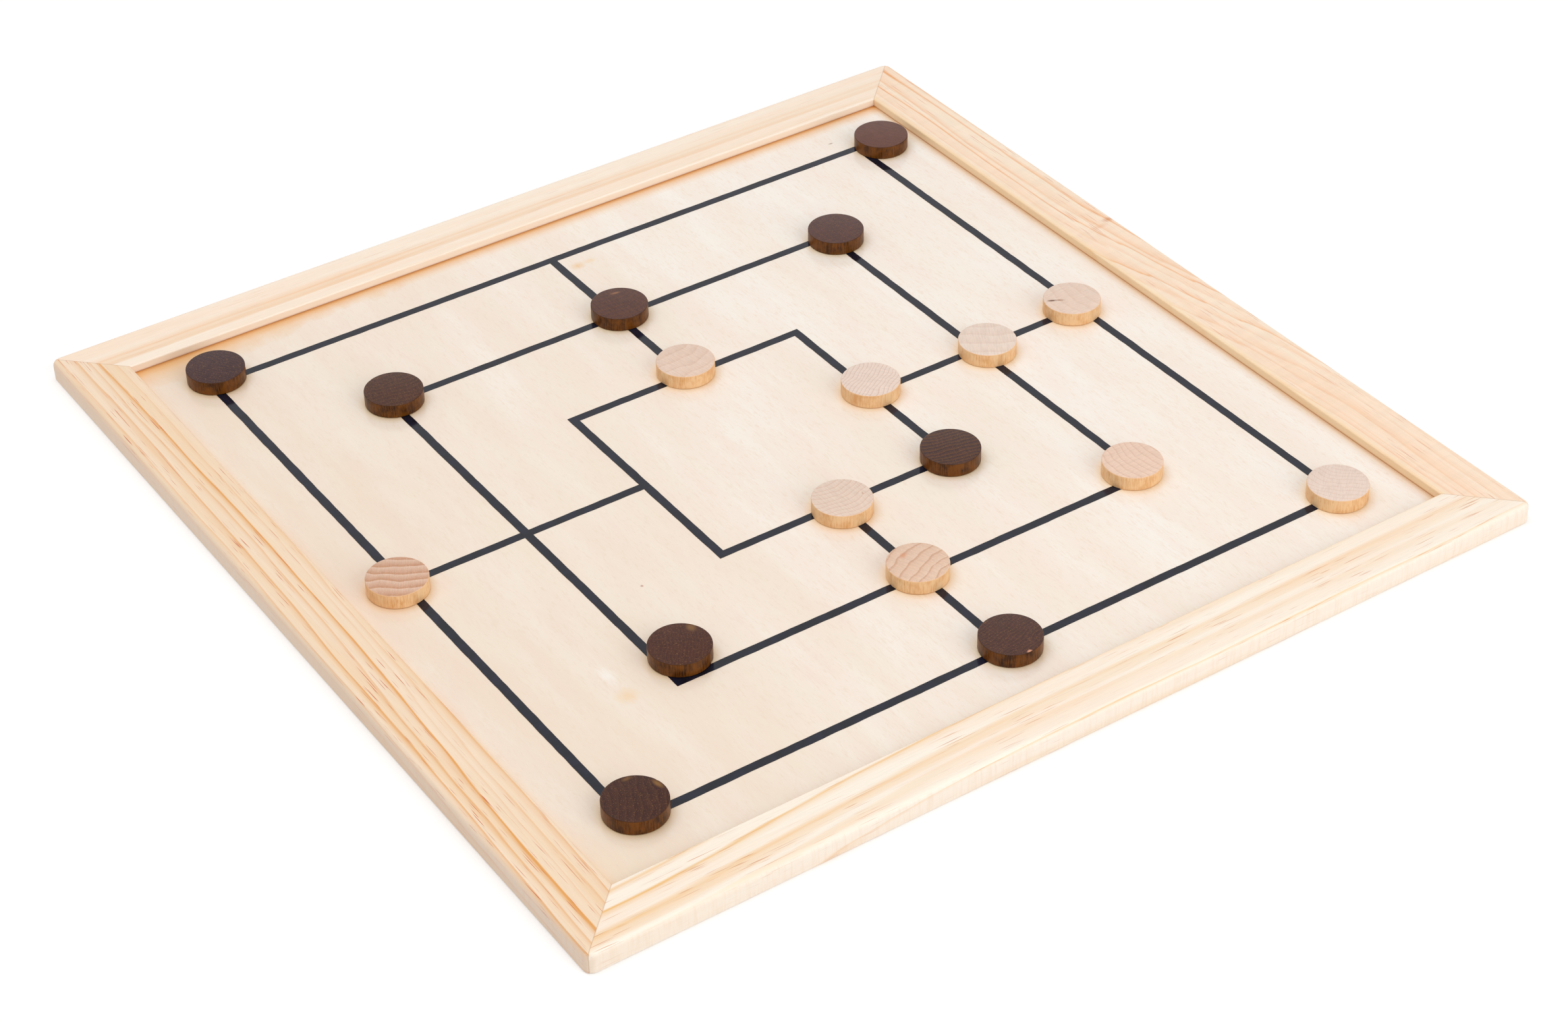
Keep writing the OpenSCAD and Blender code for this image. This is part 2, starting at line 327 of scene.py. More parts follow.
def lacquerPoolAndRailShadow(tree, colour, flat, axes, vessel):
    # amber lacquer along the back rail, widest at its left end, and painted shadow in the gaps next to
    # the back and right rails
    toBack = addNode(tree, "ShaderNodeMath", {0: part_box("rail_back")[0].y / mm, 1: axes[1]},
                     operation="SUBTRACT")
    toRight = addNode(tree, "ShaderNodeMath", {0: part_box("rail_right")[0].x / mm, 1: axes[0]},
                      operation="SUBTRACT")
    pool = panelWood["pool"]
    lean = addNode(tree, "ShaderNodeMapRange", {
        0: axes[0], 1: pool["leftMm"], 2: pool["rightMm"], 3: 0.0, 4: -pool["leanMm"]})
    wide = addNode(tree, "ShaderNodeTexNoise", {
        "Vector": flat, "Scale": panelWood["poolPerMm"], "Detail": 4.0, "Roughness": 0.65})
    wide = addNode(tree, "ShaderNodeMath", {0: wide, 1: pool["raggedMm"], 2: lean},
                   operation="MULTIPLY_ADD")
    wide = addNode(tree, "ShaderNodeMath", {0: wide, 1: pool["leastMm"]}, operation="MAXIMUM")
    amber = addNode(tree, "ShaderNodeMath", {0: toBack, 1: wide}, operation="DIVIDE")
    amber = addNode(tree, "ShaderNodeValToRGB", {0: amber}, stops=[
        (0.0, 0.8), (0.4, 0.4), (1.0, 0.0)])
    colour = addNode(tree, "ShaderNodeMix", {
        0: amber, 6: colour, 7: hexColour(panelWood["stain"])}, 2, **over)
    # painted shadow: a ragged brown band in the gap next to the back rail and the right rail
    for away, depth in zip((toBack, toRight), panelWood["railShadowDepth"]):
        shade = addNode(tree, "ShaderNodeMath", {0: vessel, 1: panelWood["railShadowRaggedMm"], 2: away},
                        operation="MULTIPLY_ADD")
        shade = addNode(tree, "ShaderNodeMath", {0: shade, 1: 1 / panelWood["railShadowMm"]},
                        operation="MULTIPLY")
        shade = addNode(tree, "ShaderNodeValToRGB", {0: shade}, stops=[
            (0.12, depth), (0.4, depth * 0.35), (0.95, 0.0)])
        colour = addNode(tree, "ShaderNodeMix", {
            0: shade, 6: colour, 7: hexColour(panelWood["railShadow"])}, 2, **over)
    return colour


def basswoodVeneer():
    # Rotary cut basswood veneer under satin lacquer: faint streaks along Y, pink and cream
    # clouds, lacquer pooled amber along the back rail, and soft reflections of the men.
    spec = panelWood
    material, tree, shader = startMaterial("basswoodVeneerLacquered")
    place = addNode(tree, "ShaderNodeTexCoord", out="Object")
    flat = addNode(tree, "ShaderNodeMapping", {"Vector": place, "Scale": inMm})
    axes = addNode(tree, "ShaderNodeSeparateXYZ", {0: flat}).node.outputs
    grain = addNode(tree, "ShaderNodeMapping", {"Vector": flat, "Scale": spec["stretch"]})

    cloud = addNode(tree, "ShaderNodeTexNoise", {
        "Vector": grain, "Scale": spec["cloudPerMm"], "Detail": 4.0})
    colour = addNode(tree, "ShaderNodeValToRGB", {0: cloud}, stops=[
        (0.38, spec["cloud"][0]), (0.64, spec["cloud"][1])])
    blush = addNode(tree, "ShaderNodeTexNoise", {
        "Vector": grain, "W": spec["blushSeed"], "Scale": spec["blushPerMm"], "Detail": 5.0,
        "Roughness": 0.65}, noise_dimensions="4D")
    blush = addNode(tree, "ShaderNodeValToRGB", {0: blush}, stops=[(0.4, 0.0), (0.66, 0.6)])
    colour = addNode(tree, "ShaderNodeMix", {
        0: blush, 6: colour, 7: hexColour(spec["blush"])}, 2, **over)
    # painted shade: the panel is made darker towards its left edge, where less light reflects from it
    leftwardShade = addNode(tree, "ShaderNodeMapRange", {0: axes[0], 1: -halfSide, 2: halfSide})
    leftwardShade = addNode(tree, "ShaderNodeValToRGB", {0: leftwardShade}, stops=[
        (0.06, spec["leftShade"]), (0.62, "#ffffff")])
    colour = addNode(tree, "ShaderNodeMix", {0: 1.0, 6: colour, 7: leftwardShade}, 2, **times)
    vessel = addNode(tree, "ShaderNodeTexNoise", {
        "Vector": grain, "Scale": spec["vesselPerMm"], "Detail": 3.0, "Roughness": 0.65})
    streak = addNode(tree, "ShaderNodeValToRGB", {0: vessel}, stops=[(0.52, 0.0), (0.78, 0.6)])
    colour = addNode(tree, "ShaderNodeMix", {
        0: streak, 6: colour, 7: hexColour(spec["streak"])}, 2, **over)
    for mark in spec["marks"]:
        colour = layMark(tree, colour, flat, vessel, mark, spec["markEdge"])
    colour = lacquerPoolAndRailShadow(tree, colour, flat, axes, vessel)

    # close to the men and rails the light has bounced off wood, and is warmer
    near = addNode(tree, "ShaderNodeAmbientOcclusion", {
        "Distance": spec["bounceMm"] * mm}, 1, samples=8)
    near = addNode(tree, "ShaderNodeValToRGB", {0: near}, stops=[
        (0.35, spec["bounce"]), (0.85, "#ffffff")])
    colour = addNode(tree, "ShaderNodeMix", {0: 1.0, 6: colour, 7: near}, 2, **times)

    rough = addNode(tree, "ShaderNodeMapRange", {0: cloud, 3: spec["rough"][0], 4: spec["rough"][1]})
    bump = addNode(tree, "ShaderNodeBump", {
        "Height": vessel, "Strength": spec["bump"], "Distance": spec["bumpMm"] * mm})
    fillInputs(tree, shader, {
        "Base Color": colour, "Roughness": rough, "Normal": bump, "IOR": finishIor})
    return material


hiddenPlies = {
    "panel_core": {"name": "poplarCoreVeneer", "pale": "#e2cfa8", "dark": "#c9b083", "turn": 90},
    "panel_back": {"name": "basswoodBackVeneer", "pale": "#efe2c8", "dark": "#dfcba5", "turn": 0},
}
plyFinish = {
    "stretch": (1000, 25, 1000),  # to millimetres, with grain 40 times as long as it is wide
    "bandPerMm": 0.5, "porePerMm": 3.0, "rough": 0.7, "bump": 0.4, "bumpMm": 0.08}


def bareVeneer(spec):
    # Sanded veneer without finish: matt, with open straight grain
    material, tree, shader = startMaterial(spec["name"])
    place = addNode(tree, "ShaderNodeTexCoord", out="Object")
    grain = addNode(tree, "ShaderNodeMapping", {
        "Vector": place, "Rotation": (0, 0, math.radians(spec["turn"])), "Scale": plyFinish["stretch"]})
    band = addNode(tree, "ShaderNodeTexNoise", {
        "Vector": grain, "Scale": plyFinish["bandPerMm"], "Detail": 4.0, "Roughness": 0.65})
    pores = addNode(tree, "ShaderNodeTexNoise", {
        "Vector": grain, "Scale": plyFinish["porePerMm"], "Detail": 2.0, "Roughness": 0.6})
    colour = addNode(tree, "ShaderNodeValToRGB", {0: band}, stops=[
        (0.35, spec["pale"]), (0.7, spec["dark"])])
    pit = addNode(tree, "ShaderNodeValToRGB", {0: pores}, stops=[(0.3, 0.85), (0.55, 1.0)])
    colour = addNode(tree, "ShaderNodeMix", {0: 1.0, 6: colour, 7: pit}, 2, **times)
    bump = addNode(tree, "ShaderNodeBump", {
        "Height": pores, "Strength": plyFinish["bump"], "Distance": plyFinish["bumpMm"] * mm})
    fillInputs(tree, shader, {"Base Color": colour, "Roughness": plyFinish["rough"], "Normal": bump})
    return material


def dressBoard():
    dressed = {"panel_face": basswoodVeneer()}
    for node, spec in railWoods.items():
        dressed[node] = pineRail(spec, "lacqueredPine" + node.split("_")[1].title())
    for node, spec in hiddenPlies.items():
        dressed[node] = bareVeneer(spec)
    for node, material in dressed.items():
        nodes[node].data.materials.clear()
        nodes[node].data.materials.append(material)
    print("rails and panel dressed")


def startTree(name, inputs):
    # inputs: (name, socket type, value); gives the tree, its inputs and their identifiers
    tree = bpy.data.node_groups.new(name, "GeometryNodeTree")
    ids = {}
    for label, kind, value in inputs:
        socket = tree.interface.new_socket(name=label, in_out="INPUT", socket_type=kind)
        if value is not None:
            socket.default_value = value
        ids[label] = socket.identifier
    tree.interface.new_socket(name="Geometry", in_out="OUTPUT", socket_type="NodeSocketGeometry")
    return tree, addNode(tree, "NodeGroupInput").node.outputs, ids


def finishTree(tree, geometry, material):
    whole = addNode(tree, "GeometryNodeRealizeInstances", {0: geometry})
    whole = addNode(tree, "GeometryNodeSetMaterial", {0: whole, "Material": material})
    tree.links.new(whole, tree.nodes.new("NodeGroupOutput").inputs[0])


def pieceFromTree(name, tree, ids, values):
    # runs the tree once and keeps the result as a plain, smooth mesh with crisp edges
    piece = bpy.data.objects.new(name, bpy.data.meshes.new(name))
    bpy.context.scene.collection.objects.link(piece)
    modifier = piece.modifiers.new("build", "NODES")
    modifier.node_group = tree
    for label, value in values.items():
        modifier[ids[label]] = value
    graph = bpy.context.evaluated_depsgraph_get()
    result = bpy.data.meshes.new_from_object(
        piece.evaluated_get(graph), preserve_all_data_layers=True, depsgraph=graph)
    piece.modifiers.clear()
    piece.data = result
    work = bmesh.new()
    work.from_mesh(result)
    bmesh.ops.recalc_face_normals(work, faces=work.faces)
    for face in work.faces:
        face.smooth = True
    work.to_mesh(result)
    work.free()
    result.set_sharp_from_angle(angle=crispAngle)
    return piece


manShape = {
    "easeMm": 0.28, "segments": 120, "roundSteps": 4, "weldMm": 0.002, "seedStep": 1.37,
    "seedMm": 97.0,  # how far apart two slices with seeds 1 apart lay in their dowel
    "wobbleMm": 0.06, "wobbleScale": 1.3, "chipMm": 0.12, "chipScale": 9.0, "chipFrom": (0.6, 0.77)}

# For each man: where the tree's centre lies, in degrees and mm, then the rings' spacing in mm,
# how strongly thin lines and soft bands show, and the slice's own tone.
manGrain = {
    "dark": [
        (30, 80, 1.3, 0.2, 0.1, "#3f2a32"), (120, 90, 1.2, 0.2, 0.1, "#795047"),
        (80, 60, 2.0, 0.25, 0.2, "#4d2c22"), (90, 25, 2.2, 0.4, 0.2, "#603f3b"),
        (0, 70, 2.2, 0.3, 0.15, "#604444"), (75, 120, 1.7, 0.4, 0.5, "#3c2a32"),
        (150, 80, 1.1, 0.2, 0.1, "#4a2114"), (155, 60, 2.2, 0.15, 0.15, "#380f05"),
        (100, 80, 1.2, 0.5, 0.15, "#4f3331")],
    "light": [
        (100, 40, 4.5, 0.15, 0.1, "#e9ccb8"), (58, 60, 3.6, 0.15, 0.85, "#dfb396"),
        (125, 90, 1.3, 0.5, 0.0, "#eedacd"), (60, 60, 5.0, 0.1, 0.1, "#efdccd"),
        (0, 50, 4.0, 0.1, 0.08, "#edd2bf"), (90, 22, 2.0, 0.28, 0.08, "#e9d1bf"),
        (-70, 34, 3.5, 0.6, 0.1, "#e8c0a2"), (0, 26, 2.4, 0.28, 0.08, "#f3cfb7"),
        (40, 18, 1.9, 0.25, 0.0, "#ecd6c8")],
}


def profileStrip(tree, given):
    # the section from the middle of the top, round both eased edges, drawn along one metre of X
    corners = [addNode(tree, "ShaderNodeCombineXYZ", pins) for pins in (
        {1: given["Thickness"]}, {0: given["Radius"], 1: given["Thickness"]}, {0: given["Radius"]}, {})]
    outline = addNode(tree, "GeometryNodeCurvePrimitiveQuadrilateral",
                      {f"Point {i}": corner for i, corner in enumerate(corners, 1)}, mode="POINTS")
    outline = addNode(tree, "GeometryNodeSetSplineCyclic", {0: outline, "Cyclic": False})
    outline = addNode(tree, "GeometryNodeFilletCurve", {
        "Curve": outline, "Count": manShape["roundSteps"], "Radius": given["Ease"]}, mode="POLY")
    path = addNode(tree, "GeometryNodeCurvePrimitiveLine", {"Start": (0, 0, 0), "End": (1, 0, 0)})
    path = addNode(tree, "GeometryNodeResampleCurve", {
        "Curve": path, "Count": manShape["segments"] + 1}, mode="COUNT")
    return addNode(tree, "GeometryNodeCurveToMesh", {"Curve": path, "Profile Curve": outline})


def turnedDisc(tree, given, strip):
    # the strip's length becomes the angle, and its width the distance from the axis
    spot = addNode(tree, "GeometryNodeInputPosition")
    spot = addNode(tree, "ShaderNodeSeparateXYZ", {0: spot}).node.outputs
    angle = addNode(tree, "ShaderNodeMath", {0: spot[0], 1: 2 * math.pi}, operation="MULTIPLY")
    cosine, sine = (addNode(tree, "ShaderNodeMath", {0: angle}, operation=kind)
                    for kind in ("COSINE", "SINE"))
    reach = addNode(tree, "ShaderNodeMath", {0: spot[1]}, operation="ABSOLUTE")
    height = addNode(tree, "ShaderNodeMath", {0: spot[2]}, operation="ABSOLUTE")

    # the rim is a little out of round, and chipped where the noise is highest
    around = addNode(tree, "ShaderNodeCombineXYZ", {0: cosine, 1: sine, 2: given["Seed"]})
    lump = addNode(tree, "ShaderNodeTexNoise", {
        "Vector": around, "Scale": manShape["wobbleScale"], "Detail": 1.0})
    lump = addNode(tree, "ShaderNodeMath", {0: lump, 1: given["Wobble"]}, operation="MULTIPLY")
    nick = addNode(tree, "ShaderNodeTexNoise", {
        "Vector": around, "Scale": manShape["chipScale"], "Detail": 2.0})
    start, full = manShape["chipFrom"]
    nick = addNode(tree, "ShaderNodeMapRange", {0: nick, 1: start, 2: full, 3: 0.0, 4: given["Chip"]})
    inward = addNode(tree, "ShaderNodeMath", {0: lump, 1: nick}, operation="ADD")
    rim = addNode(tree, "ShaderNodeMath", {0: given["Radius"], 1: 0.5}, operation="MULTIPLY")
    rim = addNode(tree, "ShaderNodeMath", {0: reach, 1: rim}, operation="GREATER_THAN")
    inward = addNode(tree, "ShaderNodeMath", {0: inward, 1: rim}, operation="MULTIPLY")
    reach = addNode(tree, "ShaderNodeMath", {0: reach, 1: inward}, operation="SUBTRACT")

    across, deep = (addNode(tree, "ShaderNodeMath", {0: reach, 1: part}, operation="MULTIPLY")
                    for part in (cosine, sine))
    turned = addNode(tree, "ShaderNodeCombineXYZ", {0: across, 1: deep, 2: height})
    disc = addNode(tree, "GeometryNodeSetPosition", {0: strip, "Position": turned})
    return addNode(tree, "GeometryNodeMergeByDistance", {
        0: disc, "Distance": manShape["weldMm"] * mm})


def dowelSliceTree(material):
    # a disc of turned wood, which remembers where in the tree it grew, for its rings
    tree, given, ids = startTree("dowelSlice", [
        ("Place", "NodeSocketVector", None), ("Radius", "NodeSocketFloat", 0.01),
        ("Thickness", "NodeSocketFloat", 0.005), ("Ease", "NodeSocketFloat", 0.0003),
        ("Chip", "NodeSocketFloat", 0.0001), ("Wobble", "NodeSocketFloat", 0.00005),
        ("Seed", "NodeSocketFloat", 0.0), ("Pith Angle", "NodeSocketFloat", 0.0),
        ("Pith Distance", "NodeSocketFloat", 40.0), ("Figure", "NodeSocketVector", None),
        ("Tone", "NodeSocketVector", None)])
    disc = turnedDisc(tree, given, profileStrip(tree, given))

    # each point's place in the tree that the dowel came from, in mm from the pith
    grain = addNode(tree, "GeometryNodeInputPosition")
    grain = addNode(tree, "ShaderNodeVectorMath", {0: grain, 1: inMm}, operation="MULTIPLY")
    grain = addNode(tree, "ShaderNodeVectorRotate", {"Vector": grain, "Angle": given["Pith Angle"]},
                    rotation_type="Z_AXIS")
    shift = addNode(tree, "ShaderNodeMath", {0: given["Seed"], 1: manShape["seedMm"]},
                    operation="MULTIPLY")
    shift = addNode(tree, "ShaderNodeCombineXYZ", {0: given["Pith Distance"], 2: shift})
    grain = addNode(tree, "ShaderNodeVectorMath", {0: grain, 1: shift}, operation="ADD")
    for label, value in (
            ("dowelPlace", grain), ("dowelFigure", given["Figure"]), ("dowelTone", given["Tone"])):
        disc = addNode(tree, "GeometryNodeStoreNamedAttribute", {
            0: disc, "Name": label, "Value": value}, data_type="FLOAT_VECTOR", domain="POINT")
    disc = addNode(tree, "GeometryNodeTransform", {0: disc, "Translation": given["Place"]})
    finishTree(tree, disc, material)
    return tree, ids


# A man's mark has the man it is on first, and its middle is measured from that man's own middle.
manWoods = {
    "dark": {
        "name": "walnutStainedBeech", "slot": "stained_wood", "seed": 20,
        "top": "#3f231d", "topPale": "#5a3629", "line": "#6b4526", "speck": "#8f6640",
        "side": "#70400e", "sideDark": "#341a06", "rim": "#40230f",
        "dots": 0.8, "ray": 0.24, "rough": (0.3, 0.46), "gloss": 0.2,
        "marks": [
            ("dark_man_4", (2.2, 6.3), (3.4, 1.1), -10, "#a06f4c", 0.7),
            ("dark_man_7", (7.0, 4.6), (2.6, 3.4), 0, "#8a6236", 0.7),
            ("dark_man_8", (8.6, 1.6), (1.6, 4.0), 10, "#8c6233", 0.8),
            ("dark_man_8", (2.4, 8.4), (3.0, 1.4), 0, "#7c552c", 0.7),
            ("dark_man_9", (-0.3, -9.7), (1.6, 1.2), 0, "#dc9c7c", 1.0)]},
    "light": {
        "name": "naturalMaple", "slot": "pale_wood", "seed": 0,
        "top": "#eed4c2", "topPale": "#f3dfd0", "line": "#c8926f", "speck": "#f7e8dc",
        "side": "#f2c998", "sideDark": "#dfa66c", "rim": "#efc297",
        "dots": 0.55, "ray": 0.096, "rough": (0.42, 0.55), "gloss": 0.35,
        "marks": [
            ("light_man_5", (-6.6, 2.7), (3.0, 1.0), -26, "#6f452c", 0.95),
            ("light_man_5", (-4.2, 1.4), (2.8, 0.8), -34, "#9a6b4c", 0.75),
            ("light_man_7", (-1.8, 5.3), (2.8, 1.9), 30, "#d98f66", 0.6),
            ("light_man_6", (6.6, -1.8), (0.5, 1.0), 0, "#c08f70", 0.7)]},
}
dowelFinish = {  # patterns are counted per mm, the last of three values along the dowel
    "warpPerMm": 0.11, "warpMm": 4.0, "mottlePerMm": 0.2, "porePerMm": 2.6,
    "rayPerMm": (0.25, 2.4, 0.1),  # coarser than real rays, so that they show
    "fibrePerMm": (2.6, 2.6, 0.25), "toneShare": 0.65, "markEdge": (0.6, 0.5),
    "bump": 0.35, "bumpMm": 0.05}


def dowelRings(tree, place):
    # rings round the pith, a little warped: a thin line at the end of each one, or a soft band
    figure = addNode(tree, "ShaderNodeAttribute", out="Vector", attribute_name="dowelFigure")
    spacing, lines, bands = addNode(tree, "ShaderNodeSeparateXYZ", {0: figure}).node.outputs
    warp = addNode(tree, "ShaderNodeTexNoise", {
        "Vector": place, "Scale": dowelFinish["warpPerMm"], "Detail": 1.5})
    radius = addNode(tree, "ShaderNodeVectorMath", {0: place, 1: (1, 1, 0)}, operation="MULTIPLY")
    radius = addNode(tree, "ShaderNodeVectorMath", {0: radius}, 1, operation="LENGTH")
    radius = addNode(tree, "ShaderNodeMath", {0: warp, 1: dowelFinish["warpMm"], 2: radius},
                     operation="MULTIPLY_ADD")
    phase = addNode(tree, "ShaderNodeMath", {0: radius, 1: spacing}, operation="DIVIDE")
    phase = addNode(tree, "ShaderNodeMath", {0: phase}, operation="FRACT")
    thin = addNode(tree, "ShaderNodeValToRGB", {0: phase}, stops=[
        (0.0, 0.0), (0.72, 0.1), (0.9, 1.0), (1.0, 0.0)])
    soft = addNode(tree, "ShaderNodeValToRGB", {0: phase}, stops=[
        (0.0, 0.0), (0.12, 0.15), (0.8, 1.0), (0.95, 0.9), (1.0, 0.0)])
    thin = addNode(tree, "ShaderNodeMath", {0: thin, 1: lines}, operation="MULTIPLY")
    return addNode(tree, "ShaderNodeMath", {0: soft, 1: bands, 2: thin},
                   operation="MULTIPLY_ADD", use_clamp=True)


def dowelWood(spec):
    # Slices of a hardwood dowel. The flat faces are end grain with ring arcs, which drinks
    # the finish and looks dull, and the turned side has straight fibres and a warmer tone.
    material, tree, shader = startMaterial(spec["name"])
    place = addNode(tree, "ShaderNodeAttribute", out="Vector", attribute_name="dowelPlace")
    surface = addNode(tree, "ShaderNodeTexCoord").node.outputs
    ring = dowelRings(tree, place)

    # end grain: the slice's own tone, mottled, with rings, rays and open pores
    mottle = addNode(tree, "ShaderNodeTexNoise", {
        "Vector": place, "Scale": dowelFinish["mottlePerMm"], "Detail": 3.0, "Roughness": 0.6})
    top = addNode(tree, "ShaderNodeValToRGB", {0: mottle}, stops=[
        (0.5, spec["top"]), (0.75, spec["topPale"])])
    tone = addNode(tree, "ShaderNodeAttribute", attribute_name="dowelTone")
    top = addNode(tree, "ShaderNodeMix", {0: dowelFinish["toneShare"], 6: top, 7: tone}, 2, **over)
    rays = addNode(tree, "ShaderNodeMapping", {"Vector": place, "Scale": dowelFinish["rayPerMm"]})
    rays = addNode(tree, "ShaderNodeTexNoise", {
        "Vector": rays, "Scale": 1.0, "Detail": 2.0, "Roughness": 0.6})
    ray = addNode(tree, "ShaderNodeValToRGB", {0: rays}, stops=[(0.35, 1 - spec["ray"]), (0.6, 1.0)])
    dots = addNode(tree, "ShaderNodeTexNoise", {
        "Vector": place, "Scale": dowelFinish["porePerMm"], "Detail": 2.0, "Roughness": 0.7})
    dot = addNode(tree, "ShaderNodeValToRGB", {0: dots}, stops=[(0.58, 0.0), (0.74, spec["dots"])])
    top = addNode(tree, "ShaderNodeMix", {0: ring, 6: top, 7: hexColour(spec["line"])}, 2, **over)
    top = addNode(tree, "ShaderNodeMix", {0: 1.0, 6: top, 7: ray}, 2, **times)
    top = addNode(tree, "ShaderNodeMix", {0: dot, 6: top, 7: hexColour(spec["speck"])}, 2, **over)
    flat = addNode(tree, "ShaderNodeMapping", {"Vector": surface["Object"], "Scale": inMm})
    for node, middle, *rest in spec["marks"]:
        low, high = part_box(node)
        middle = [(low[i] + high[i]) / 2 / mm + middle[i] for i in (0, 1)]
        top = layMark(tree, top, flat, dots, (middle, *rest), dowelFinish["markEdge"])

    # the turned side, and a rim between it and the end grain
    fibre = addNode(tree, "ShaderNodeMapping", {"Vector": place, "Scale": dowelFinish["fibrePerMm"]})
    fibre = addNode(tree, "ShaderNodeTexNoise", {
        "Vector": fibre, "Scale": 1.0, "Detail": 3.0, "Roughness": 0.65})
    shade = addNode(tree, "ShaderNodeMath", {0: mottle, 1: 0.5}, operation="MULTIPLY")
    shade = addNode(tree, "ShaderNodeMath", {0: fibre, 1: 0.5, 2: shade}, operation="MULTIPLY_ADD")
    side = addNode(tree, "ShaderNodeValToRGB", {0: shade}, stops=[
        (0.38, spec["sideDark"]), (0.56, spec["side"])])
    facing = addNode(tree, "ShaderNodeSeparateXYZ", {0: surface["Normal"]}, 2)
    facing = addNode(tree, "ShaderNodeMath", {0: facing}, operation="ABSOLUTE")
    rim = addNode(tree, "ShaderNodeValToRGB", {0: facing}, stops=[(0.1, 0.0), (0.4, 0.8)])
    level = addNode(tree, "ShaderNodeValToRGB", {0: facing}, stops=[(0.6, 0.0), (0.95, 1.0)])
    colour = addNode(tree, "ShaderNodeMix", {0: rim, 6: side, 7: hexColour(spec["rim"])}, 2, **over)
    colour = addNode(tree, "ShaderNodeMix", {0: level, 6: colour, 7: top}, 2, **over)

    rough = addNode(tree, "ShaderNodeMapRange", {0: dots, 3: spec["rough"][0], 4: spec["rough"][1]})
    bump = addNode(tree, "ShaderNodeBump", {
        "Height": fibre, "Strength": dowelFinish["bump"], "Distance": dowelFinish["bumpMm"] * mm})
    fillInputs(tree, shader, {
        "Base Color": colour, "Roughness": rough, "Normal": bump, "IOR": finishIor,
        "Specular IOR Level": spec["gloss"]})
    return material


def makeMen(kind):
    spec = manWoods[kind]
    tree, ids = dowelSliceTree(dowelWood(spec))
    for number, (pithAngle, pithMm, ringMm, lines, bands, tone) in enumerate(manGrain[kind], 1):
        node = f"{kind}_man_{number}"
        low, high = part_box(node)
        piece = pieceFromTree(f"{kind}Man{number}", tree, ids, {
            "Place": Vector(((low.x + high.x) / 2, (low.y + high.y) / 2, low.z)),
            "Radius": (high.x - low.x) / 2, "Thickness": high.z - low.z,
            "Ease": manShape["easeMm"] * mm, "Chip": manShape["chipMm"] * mm,
            "Wobble": manShape["wobbleMm"] * mm,
            "Seed": number * manShape["seedStep"] + spec["seed"],
            "Pith Angle": math.radians(180 - pithAngle), "Pith Distance": float(pithMm),
            "Figure": Vector((ringMm, lines, bands)), "Tone": Vector(hexColour(tone)[:3])})
        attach(piece, f"{node}_body")
        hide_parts(node)
    print("men made:", kind)


printShape = {
    "lineMm": 3.0, "middleShare": 0.6675, "innerShare": 0.335, "stepMm": 1.0,
    "wanderMm": 0.22, "waveMm": 6.25}
inkFinish = {
    "patchPerMm": 0.25, "pinholePerMm": 2.0,
    "ink": ("#0d0f1c", "#171a2c"), "pinhole": "#3a3a44", "rough": (0.1, 0.18), "gloss": 0.34,
    "bump": 0.12, "bumpMm": 0.02}


def screenInk():
    # Screen printed ink under the lacquer: blue black and smooth, so it mirrors the men
    material, tree, shader = startMaterial("blackScreenInk")
    place = addNode(tree, "ShaderNodeTexCoord", out="Object")
    place = addNode(tree, "ShaderNodeMapping", {"Vector": place, "Scale": inMm})
    patch = addNode(tree, "ShaderNodeTexNoise", {
        "Vector": place, "Scale": inkFinish["patchPerMm"], "Detail": 3.0})
    pinholes = addNode(tree, "ShaderNodeTexNoise", {
        "Vector": place, "Scale": inkFinish["pinholePerMm"], "Detail": 2.0})
    colour = addNode(tree, "ShaderNodeValToRGB", {0: patch}, stops=[
        (0.35, inkFinish["ink"][0]), (0.65, inkFinish["ink"][1])])
    hole = addNode(tree, "ShaderNodeValToRGB", {0: pinholes}, stops=[(0.64, 0.0), (0.76, 0.45)])
    colour = addNode(tree, "ShaderNodeMix", {
        0: hole, 6: colour, 7: hexColour(inkFinish["pinhole"])}, 2, **over)
    low, high = inkFinish["rough"]
    rough = addNode(tree, "ShaderNodeMapRange", {0: patch, 3: low, 4: high})
    bump = addNode(tree, "ShaderNodeBump", {
        "Height": pinholes, "Strength": inkFinish["bump"], "Distance": inkFinish["bumpMm"] * mm})
    fillInputs(tree, shader, {
        "Base Color": colour, "Roughness": rough, "Normal": bump, "IOR": finishIor,
        "Specular IOR Level": inkFinish["gloss"]})
    return material


